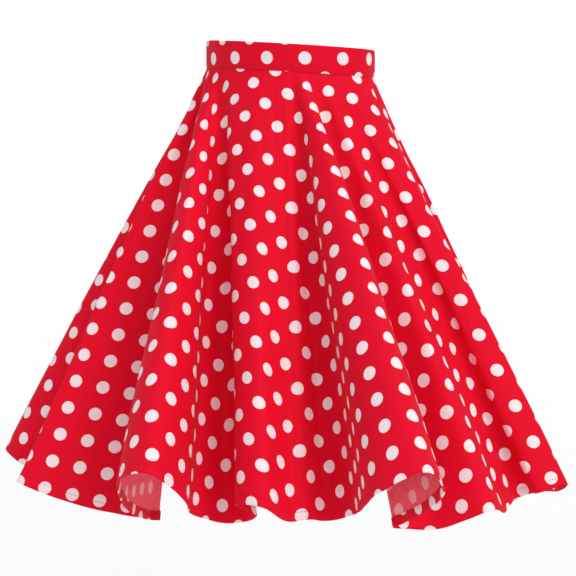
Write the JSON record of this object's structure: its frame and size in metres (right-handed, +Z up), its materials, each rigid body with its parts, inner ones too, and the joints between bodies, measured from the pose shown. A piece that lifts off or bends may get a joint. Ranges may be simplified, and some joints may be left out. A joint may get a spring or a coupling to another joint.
{
  "type": "full-circle skirt",
  "caption": "Worn full-circle skirt of dotted cotton that falls in deep folds from a fitted waistband, closed by a concealed zip at centre back.",
  "frame": {"origin": "middle of the waist opening, at half the height of the waistband, where the wearer's waist holds the skirt", "axes": "+Z up, the front of the skirt faces -Y, +X towards the wearer's left"},
  "size_m": [0.7826, 0.776, 0.6085],
  "materials": {
    "dotted_cotton": "woven cotton, matt, red with white dots",
    "zip_tape_cloth": "woven tape, matt red",
    "painted_metal": "red enamel"
  },
  "bodies": {
    "skirt": {"waistband": "dotted_cotton", "skirt_front": "dotted_cotton", "skirt_back_left": "dotted_cotton", "skirt_back_right": "dotted_cotton", "zip_tape": "zip_tape_cloth", "zip_slider": "painted_metal"},
    "pull_tab": {"zip_pull": "painted_metal"}
  },
  "joints": [
    {"name": "pull_swing", "type": "hinge", "parent": "skirt", "child": "pull_tab", "pos_m": [0, 0.0985, 0.00888], "axis": [1, 0, 0], "range_deg": [0, 150]}
  ]
}
